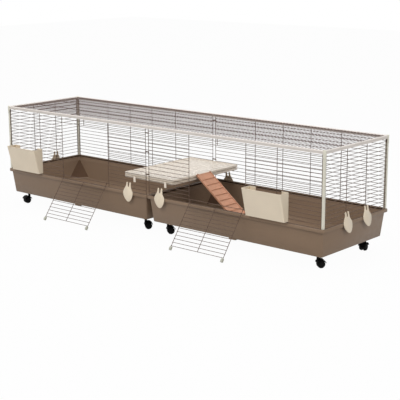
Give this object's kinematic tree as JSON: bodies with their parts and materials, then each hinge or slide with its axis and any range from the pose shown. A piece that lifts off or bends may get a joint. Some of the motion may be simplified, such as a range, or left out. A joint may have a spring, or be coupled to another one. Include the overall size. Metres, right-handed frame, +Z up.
{
  "type": "ferret cage",
  "caption": "Long low ferret cage: two deep plastic trays on casters under one wire enclosure, with fold-down doors, hay racks, a platform and a ramp.",
  "frame": {"origin": "on the floor, under the middle of the overall box, with the doors folded down", "axes": "+X along the length to the end nearest the inner ramp's foot, +Y to the back, +Z up"},
  "size_m": [2.4148, 0.784, 0.6205],
  "materials": {
    "tray_plastic": "taupe moulded plastic, satin",
    "cream_plastic": "cream moulded plastic, soft gloss",
    "caster_plastic": "black plastic",
    "wire": "dark grey-brown coated steel wire",
    "terracotta_plastic": "terracotta-coloured plastic"
  },
  "bodies": {
    "cage": {"tray_left": "tray_plastic", "tray_right": "tray_plastic", "front_panel_left": "wire", "front_panel_right": "wire", "back_panel_left": "wire", "back_panel_right": "wire", "end_panel_left": "wire", "end_panel_right": "wire", "roof_panel_left": "wire", "roof_panel_right": "wire", "corner_post_front_left": "cream_plastic", "corner_post_back_left": "cream_plastic", "corner_post_front_right": "cream_plastic", "corner_post_back_right": "cream_plastic", "top_rail_front_right": "cream_plastic", "top_rail_front_left": "cream_plastic", "top_rail_back_right": "cream_plastic", "top_rail_back_left": "cream_plastic", "top_rail_end_left": "cream_plastic", "top_rail_end_right": "cream_plastic", "seam_clip_front_1": "wire", "seam_clip_front_2": "wire", "seam_clip_front_3": "wire", "seam_clip_back_1": "wire", "seam_clip_back_2": "wire", "seam_clip_back_3": "wire", "platform": "cream_plastic"},
    "caster_swivel_1": {"caster_hood_1": "caster_plastic"},
    "caster_wheels_1": {"caster_wheels_1": "caster_plastic"},
    "caster_swivel_2": {"caster_hood_2": "caster_plastic"},
    "caster_wheels_2": {"caster_wheels_2": "caster_plastic"},
    "caster_swivel_3": {"caster_hood_3": "caster_plastic"},
    "caster_wheels_3": {"caster_wheels_3": "caster_plastic"},
    "caster_swivel_4": {"caster_hood_4": "caster_plastic"},
    "caster_wheels_4": {"caster_wheels_4": "caster_plastic"},
    "caster_swivel_5": {"caster_hood_5": "caster_plastic"},
    "caster_wheels_5": {"caster_wheels_5": "caster_plastic"},
    "caster_swivel_6": {"caster_hood_6": "caster_plastic"},
    "caster_wheels_6": {"caster_wheels_6": "caster_plastic"},
    "caster_swivel_7": {"caster_hood_7": "caster_plastic"},
    "caster_wheels_7": {"caster_wheels_7": "caster_plastic"},
    "caster_swivel_8": {"caster_hood_8": "caster_plastic"},
    "caster_wheels_8": {"caster_wheels_8": "caster_plastic"},
    "door_left": {"door_left": "wire", "door_foot_inner_left": "cream_plastic", "door_foot_outer_left": "cream_plastic"},
    "door_right": {"door_right": "wire", "door_foot_inner_right": "cream_plastic", "door_foot_outer_right": "cream_plastic"},
    "latch_front_1": {"latch_front_1": "cream_plastic"},
    "latch_front_2": {"latch_front_2": "cream_plastic"},
    "latch_back_1": {"latch_back_1": "cream_plastic"},
    "latch_back_2": {"latch_back_2": "cream_plastic"},
    "latch_left_1": {"latch_left_1": "cream_plastic"},
    "latch_left_2": {"latch_left_2": "cream_plastic"},
    "latch_right_1": {"latch_right_1": "cream_plastic"},
    "latch_right_2": {"latch_right_2": "cream_plastic"},
    "hay_rack_left": {"hay_rack_left": "cream_plastic"},
    "hay_rack_right": {"hay_rack_right": "cream_plastic"},
    "inner_ramp": {"inner_ramp": "terracotta_plastic"}
  },
  "joints": [
    {"name": "caster_swivel_1", "type": "hinge", "parent": "cage", "child": "caster_swivel_1", "pos_m": [-1.108, -0.13937, 0.0747], "axis": [0, 0, 1], "continuous": true},
    {"name": "caster_roll_1", "type": "hinge", "parent": "caster_swivel_1", "child": "caster_wheels_1", "pos_m": [-1.11188, -0.15385, 0.021], "axis": [0.9659, -0.2588, 0], "continuous": true},
    {"name": "caster_swivel_2", "type": "hinge", "parent": "cage", "child": "caster_swivel_2", "pos_m": [-1.108, 0.29663, 0.0747], "axis": [0, 0, 1], "continuous": true},
    {"name": "caster_roll_2", "type": "hinge", "parent": "caster_swivel_2", "child": "caster_wheels_2", "pos_m": [-1.1005, 0.30962, 0.021], "axis": [-0.866, 0.5, 0], "continuous": true},
    {"name": "caster_swivel_3", "type": "hinge", "parent": "cage", "child": "caster_swivel_3", "pos_m": [-0.087, -0.13937, 0.0747], "axis": [0, 0, 1], "continuous": true},
    {"name": "caster_roll_3", "type": "hinge", "parent": "caster_swivel_3", "child": "caster_wheels_3", "pos_m": [-0.07716, -0.12804, 0.021], "axis": [-0.7547, 0.6561, 0], "continuous": true},
    {"name": "caster_swivel_4", "type": "hinge", "parent": "cage", "child": "caster_swivel_4", "pos_m": [-0.087, 0.29663, 0.0747], "axis": [0, 0, 1], "continuous": true},
    {"name": "caster_roll_4", "type": "hinge", "parent": "caster_swivel_4", "child": "caster_wheels_4", "pos_m": [-0.09664, 0.28514, 0.021], "axis": [0.766, -0.6428, 0], "continuous": true},
    {"name": "caster_swivel_5", "type": "hinge", "parent": "cage", "child": "caster_swivel_5", "pos_m": [0.087, -0.13937, 0.0747], "axis": [0, 0, 1], "continuous": true},
    {"name": "caster_roll_5", "type": "hinge", "parent": "caster_swivel_5", "child": "caster_wheels_5", "pos_m": [0.09603, -0.12739, 0.021], "axis": [-0.7986, 0.6018, 0], "continuous": true},
    {"name": "caster_swivel_6", "type": "hinge", "parent": "cage", "child": "caster_swivel_6", "pos_m": [0.087, 0.29663, 0.0747], "axis": [0, 0, 1], "continuous": true},
    {"name": "caster_roll_6", "type": "hinge", "parent": "caster_swivel_6", "child": "caster_wheels_6", "pos_m": [0.08187, 0.28254, 0.021], "axis": [0.9397, -0.342, 0], "continuous": true},
    {"name": "caster_swivel_7", "type": "hinge", "parent": "cage", "child": "caster_swivel_7", "pos_m": [1.108, -0.13937, 0.0747], "axis": [0, 0, 1], "continuous": true},
    {"name": "caster_roll_7", "type": "hinge", "parent": "caster_swivel_7", "child": "caster_wheels_7", "pos_m": [1.11764, -0.12787, 0.021], "axis": [-0.766, 0.6428, 0], "continuous": true},
    {"name": "caster_swivel_8", "type": "hinge", "parent": "cage", "child": "caster_swivel_8", "pos_m": [1.108, 0.29663, 0.0747], "axis": [0, 0, 1], "continuous": true},
    {"name": "caster_roll_8", "type": "hinge", "parent": "caster_swivel_8", "child": "caster_wheels_8", "pos_m": [1.11009, 0.28178, 0.021], "axis": [0.9903, 0.1392, 0], "continuous": true},
    {"name": "door_left_fold", "type": "hinge", "parent": "cage", "child": "door_left", "pos_m": [-0.50357, -0.21337, 0.24805], "axis": [-1, 0, 0], "range_deg": [0, 144]},
    {"name": "door_right_fold", "type": "hinge", "parent": "cage", "child": "door_right", "pos_m": [0.50357, -0.21337, 0.24805], "axis": [-1, 0, 0], "range_deg": [0, 144]},
    {"name": "latch_front_1_swing", "type": "hinge", "parent": "cage", "child": "latch_front_1", "pos_m": [-0.143, -0.21337, 0.2693], "axis": [-1, 0, 0], "range_deg": [0, 95]},
    {"name": "latch_front_2_swing", "type": "hinge", "parent": "cage", "child": "latch_front_2", "pos_m": [0.1, -0.21337, 0.2693], "axis": [-1, 0, 0], "range_deg": [0, 95]},
    {"name": "latch_back_1_swing", "type": "hinge", "parent": "cage", "child": "latch_back_1", "pos_m": [-0.1, 0.37063, 0.2693], "axis": [1, 0, 0], "range_deg": [0, 95]},
    {"name": "latch_back_2_swing", "type": "hinge", "parent": "cage", "child": "latch_back_2", "pos_m": [0.1, 0.37063, 0.2693], "axis": [1, 0, 0], "range_deg": [0, 95]},
    {"name": "latch_left_1_swing", "type": "hinge", "parent": "cage", "child": "latch_left_1", "pos_m": [-1.186, -0.01137, 0.2693], "axis": [0, 1, 0], "range_deg": [0, 95]},
    {"name": "latch_left_2_swing", "type": "hinge", "parent": "cage", "child": "latch_left_2", "pos_m": [-1.186, 0.16863, 0.2693], "axis": [0, 1, 0], "range_deg": [0, 95]},
    {"name": "latch_right_1_swing", "type": "hinge", "parent": "cage", "child": "latch_right_1", "pos_m": [1.186, -0.01137, 0.2693], "axis": [0, -1, 0], "range_deg": [0, 95]},
    {"name": "latch_right_2_swing", "type": "hinge", "parent": "cage", "child": "latch_right_2", "pos_m": [1.186, 0.16863, 0.2693], "axis": [0, -1, 0], "range_deg": [0, 95]},
    {"name": "hay_rack_left_lift", "type": "slide", "parent": "cage", "child": "hay_rack_left", "axis": [0, 0, 1], "range_m": [0, 0.012]},
    {"name": "hay_rack_right_lift", "type": "slide", "parent": "cage", "child": "hay_rack_right", "axis": [0, 0, 1], "range_m": [0, 0.012]},
    {"name": "inner_ramp_lift", "type": "hinge", "parent": "cage", "child": "inner_ramp", "pos_m": [0.1918, 0.04663, 0.3295], "axis": [0, -1, 0], "range_deg": [0, 60]}
  ]
}
